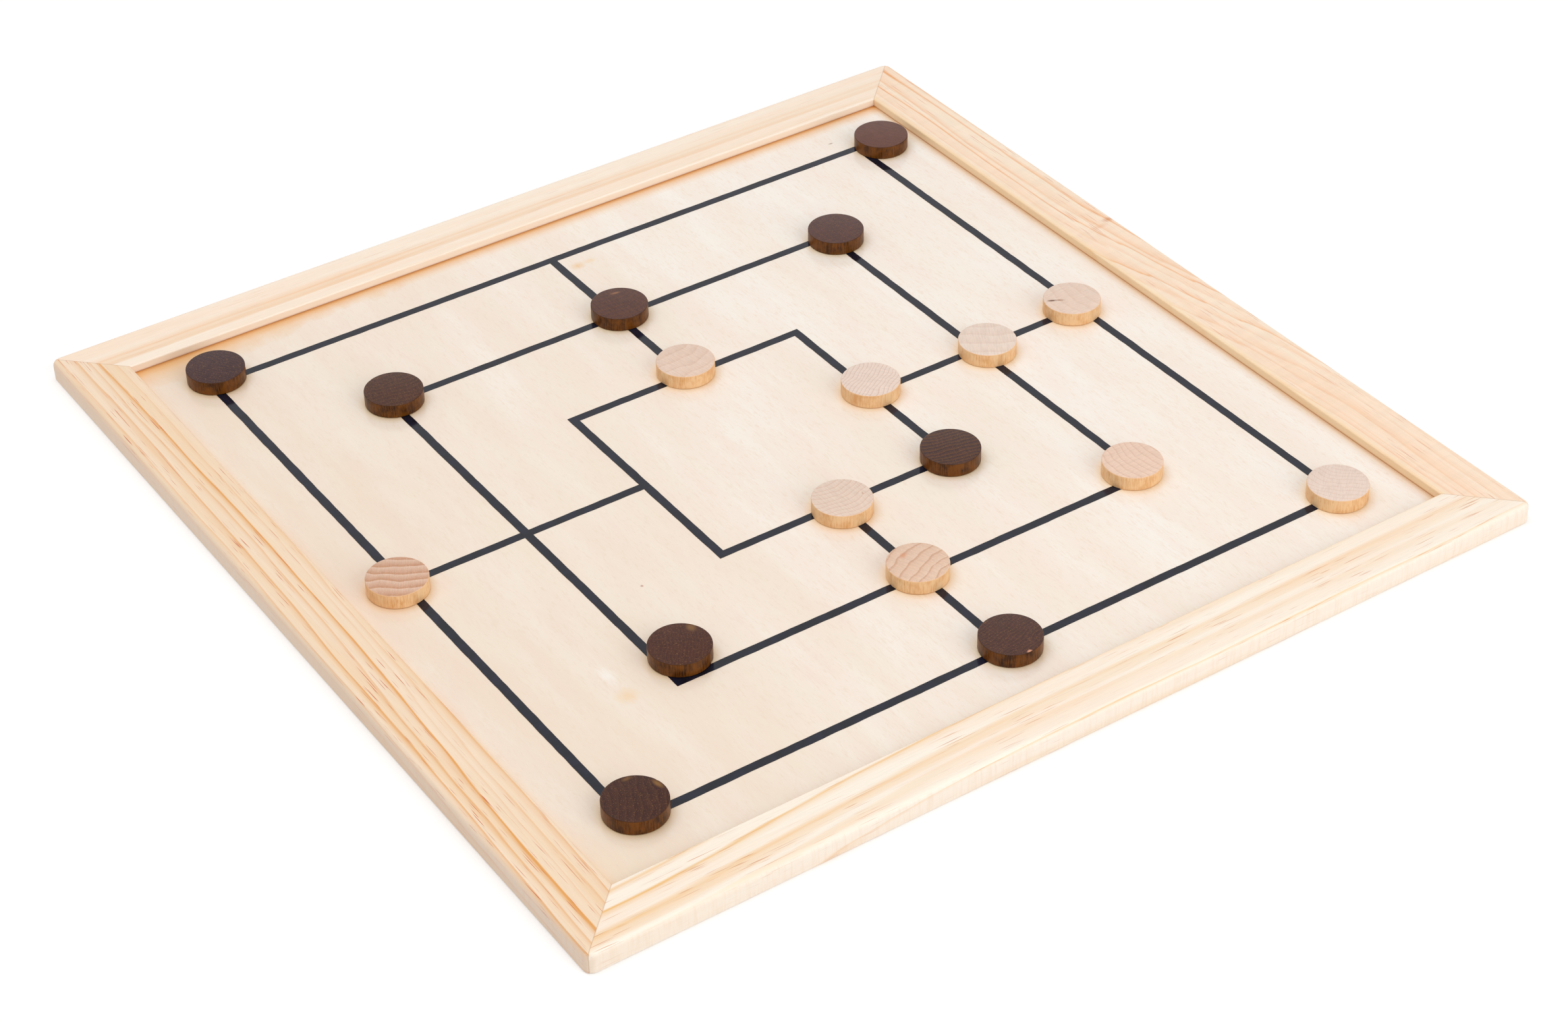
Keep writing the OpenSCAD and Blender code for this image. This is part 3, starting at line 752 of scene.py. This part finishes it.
def printedLinesTree(material):
    # straight bars: four to a square, laid like a pinwheel, and four joining bars in each gap
    tree, given, ids = startTree("printedLines", [
        ("Centre", "NodeSocketVector", None), ("Side", "NodeSocketFloat", 0.27),
        ("Line Width", "NodeSocketFloat", 0.003), ("Ink", "NodeSocketFloat", 0.0001),
        ("Wander", "NodeSocketFloat", 0.0002)])
    width = given["Line Width"]
    sides = [given["Side"]] + [
        addNode(tree, "ShaderNodeMath", {
            0: given["Side"], 1: printShape[share]}, operation="MULTIPLY")
        for share in ("middleShare", "innerShare")]
    bars = []  # each bar's length, its middle and whether it runs away from the centre
    for side in sides:
        x = addNode(tree, "ShaderNodeMath", {0: width, 1: -0.5}, operation="MULTIPLY")
        y = addNode(tree, "ShaderNodeMath", {0: side, 1: 0.5}, operation="MULTIPLY")
        bars.append((side, x, y, False))
    for outer, within in zip(sides, sides[1:]):
        gap = addNode(tree, "ShaderNodeMath", {0: outer, 1: within}, operation="SUBTRACT")
        gap = addNode(tree, "ShaderNodeMath", {0: gap, 1: 2.0}, operation="DIVIDE")
        gap = addNode(tree, "ShaderNodeMath", {0: gap, 1: width}, operation="SUBTRACT")
        y = addNode(tree, "ShaderNodeMath", {0: outer, 1: within}, operation="ADD")
        y = addNode(tree, "ShaderNodeMath", {0: y, 1: 0.25}, operation="MULTIPLY")
        bars.append((gap, 0.0, y, True))

    # each bar is cut into short steps, and set at the four quarter turns
    turn = addNode(tree, "GeometryNodeInputIndex")
    turn = addNode(tree, "ShaderNodeMath", {0: turn, 1: math.pi / 2}, operation="MULTIPLY")
    turn = addNode(tree, "ShaderNodeCombineXYZ", {2: turn})
    four = addNode(tree, "GeometryNodePoints", {"Count": 4})
    z = addNode(tree, "ShaderNodeMath", {0: given["Ink"], 1: 0.5}, operation="MULTIPLY")
    parts = addNode(tree, "GeometryNodeJoinGeometry")
    for length, x, y, upright in bars:
        longAxis, thinAxis, steps = (1, 0, "Vertices Y") if upright else (0, 1, "Vertices X")
        size = addNode(tree, "ShaderNodeCombineXYZ", {
            longAxis: length, thinAxis: width, 2: given["Ink"]})
        count = addNode(tree, "ShaderNodeMath", {
            0: length, 1: 1 / (printShape["stepMm"] * mm), 2: 2.0}, operation="MULTIPLY_ADD")
        bar = addNode(tree, "GeometryNodeMeshCube", {"Size": size, steps: count})
        middle = addNode(tree, "ShaderNodeCombineXYZ", {0: x, 1: y, 2: z})
        bar = addNode(tree, "GeometryNodeTransform", {0: bar, "Translation": middle})
        ring = addNode(tree, "GeometryNodeInstanceOnPoints", {
            "Points": four, "Instance": bar, "Rotation": turn})
        tree.links.new(ring, parts.node.inputs[0])
    whole = addNode(tree, "GeometryNodeRealizeInstances", {0: parts})

    # the edges wander a little, as the mesh of the screen left them
    spot = addNode(tree, "GeometryNodeInputPosition")
    spot = addNode(tree, "ShaderNodeVectorMath", {0: spot, 1: (1, 1, 0)}, operation="MULTIPLY")
    drift = addNode(tree, "ShaderNodeTexNoise", {
        "Vector": spot, "Scale": 1 / (printShape["waveMm"] * mm), "Detail": 2.0}, 1)
    drift = addNode(tree, "ShaderNodeVectorMath", {
        0: drift, 1: (0.5, 0.5, 0.5)}, operation="SUBTRACT")
    drift = addNode(tree, "ShaderNodeVectorMath", {0: drift, 1: (2, 2, 0)}, operation="MULTIPLY")
    drift = addNode(tree, "ShaderNodeVectorMath", {0: drift, "Scale": given["Wander"]},
                    operation="SCALE")
    whole = addNode(tree, "GeometryNodeSetPosition", {0: whole, "Offset": drift})
    whole = addNode(tree, "GeometryNodeTransform", {0: whole, "Translation": given["Centre"]})
    finishTree(tree, whole, material)
    return tree, ids


def makePrintedLines():
    tree, ids = printedLinesTree(screenInk())
    low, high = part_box("printed_lines")
    line = printShape["lineMm"] * mm
    piece = pieceFromTree("printedLines", tree, ids, {
        "Centre": Vector(((low.x + high.x) / 2, (low.y + high.y) / 2, low.z)),
        "Side": high.x - low.x - line, "Line Width": line, "Ink": high.z - low.z,
        "Wander": printShape["wanderMm"] * mm})
    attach(piece, "board")
    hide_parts("printed_lines")
    print("printed lines made")


studio = {  # lengths in metres
    "white": "#ffffff", "paper": "#e6e6e6", "paperReach": 6, "roomLight": 0.56,
    "glow": (0.3, 0.7), "glowFrom": (0.8, 1.9),  # the paper shines by itself, more with the distance
    "lamps": {  # place, size and watts
        "overheadSoftbox": ((-0.3, 0.3, 1.5), 1.4, 9.0),
        "frontSoftbox": ((0.3, -1.3, 0.62), 1.2, 8.5),
    },
}


def whiteToCamera(tree):
    # 1 where the camera looks straight, in gloss or through glass, and 0 for light on the object
    rays = addNode(tree, "ShaderNodeLightPath").node.outputs
    clear = addNode(tree, "ShaderNodeMath", {
        0: rays["Is Glossy Ray"], 1: rays["Is Transmission Ray"]}, operation="MAXIMUM")
    return addNode(tree, "ShaderNodeMath", {0: rays["Is Camera Ray"], 1: clear}, operation="MAXIMUM")


def makePaper():
    # a white paper sheet that looks white to the camera and in gloss, and still takes shadows
    far = studio["paperReach"]
    mesh = bpy.data.meshes.new("floor")
    corners = [(-far, -far, 0), (far, -far, 0), (far, far, 0), (-far, far, 0)]
    mesh.from_pydata(corners, [], [(0, 1, 2, 3)])
    floor = bpy.data.objects.new("floor", mesh)
    bpy.context.scene.collection.objects.link(floor)
    material, tree, shader = startMaterial("whitePaperSweep")
    tree.nodes.remove(shader)
    away = addNode(tree, "ShaderNodeTexCoord", out="Object")
    away = addNode(tree, "ShaderNodeVectorMath", {0: away}, 1, operation="LENGTH")
    (near, distant), (dim, bright) = studio["glowFrom"], studio["glow"]
    glow = addNode(tree, "ShaderNodeMapRange", {0: away, 1: near, 2: distant, 3: dim, 4: bright})
    glow = addNode(tree, "ShaderNodeMath", {0: whiteToCamera(tree), 1: glow}, operation="MULTIPLY")
    glow = addNode(tree, "ShaderNodeEmission", {
        "Color": hexColour(studio["white"]), "Strength": glow})
    paper = addNode(tree, "ShaderNodeBsdfDiffuse", {"Color": hexColour(studio["paper"])})
    both = addNode(tree, "ShaderNodeAddShader", {0: paper, 1: glow})
    fillInputs(tree, tree.nodes["Material Output"], {0: both})
    mesh.materials.append(material)


def makeLight():
    # even white room light, which the camera sees as plain white, and two soft lamps
    world = bpy.data.worlds.new("studio")
    world.use_nodes = True
    bpy.context.scene.world = world
    room = world.node_tree
    strength = addNode(room, "ShaderNodeMapRange", {
        0: whiteToCamera(room), 3: studio["roomLight"], 4: 1.0})
    fillInputs(room, room.nodes["Background"], {
        "Strength": strength, "Color": hexColour(studio["white"])})
    for name, (place, size, watts) in studio["lamps"].items():
        light = bpy.data.lights.new(name, "AREA")
        light.energy = watts
        light.size = size
        lamp = bpy.data.objects.new(name, light)
        lamp.location = place
        lamp.rotation_euler = (-Vector(place)).to_track_quat("-Z", "Y").to_euler()
        bpy.context.scene.collection.objects.link(lamp)
    bpy.context.scene.view_settings.view_transform = "Standard"
    print("studio set")


cameraView = {
    "eyeMm": (-470.6, -721.4, 621.4), "targetMm": (-17.9, -37.9, 4.4), "rollDeg": -1.2,
    "lensMm": 74.07, "sensorMm": 36, "farMetres": 50}


def makeCamera():
    data = bpy.data.cameras.new("camera")
    data.lens = cameraView["lensMm"]
    data.sensor_width = cameraView["sensorMm"]
    data.clip_end = cameraView["farMetres"]
    camera = bpy.data.objects.new("camera", data)
    eye = Vector(cameraView["eyeMm"]) * mm
    look = (Vector(cameraView["targetMm"]) * mm - eye).to_track_quat("-Z", "Y").to_matrix()
    look = look @ Matrix.Rotation(math.radians(cameraView["rollDeg"]), 3, "Z")
    camera.matrix_world = Matrix.Translation(eye) @ look.to_4x4()
    bpy.context.scene.collection.objects.link(camera)
    bpy.context.scene.camera = camera
    print("camera placed")


makeCamera()
makePaper()
makeLight()
dressBoard()
makePrintedLines()
for kind in manWoods:
    makeMen(kind)
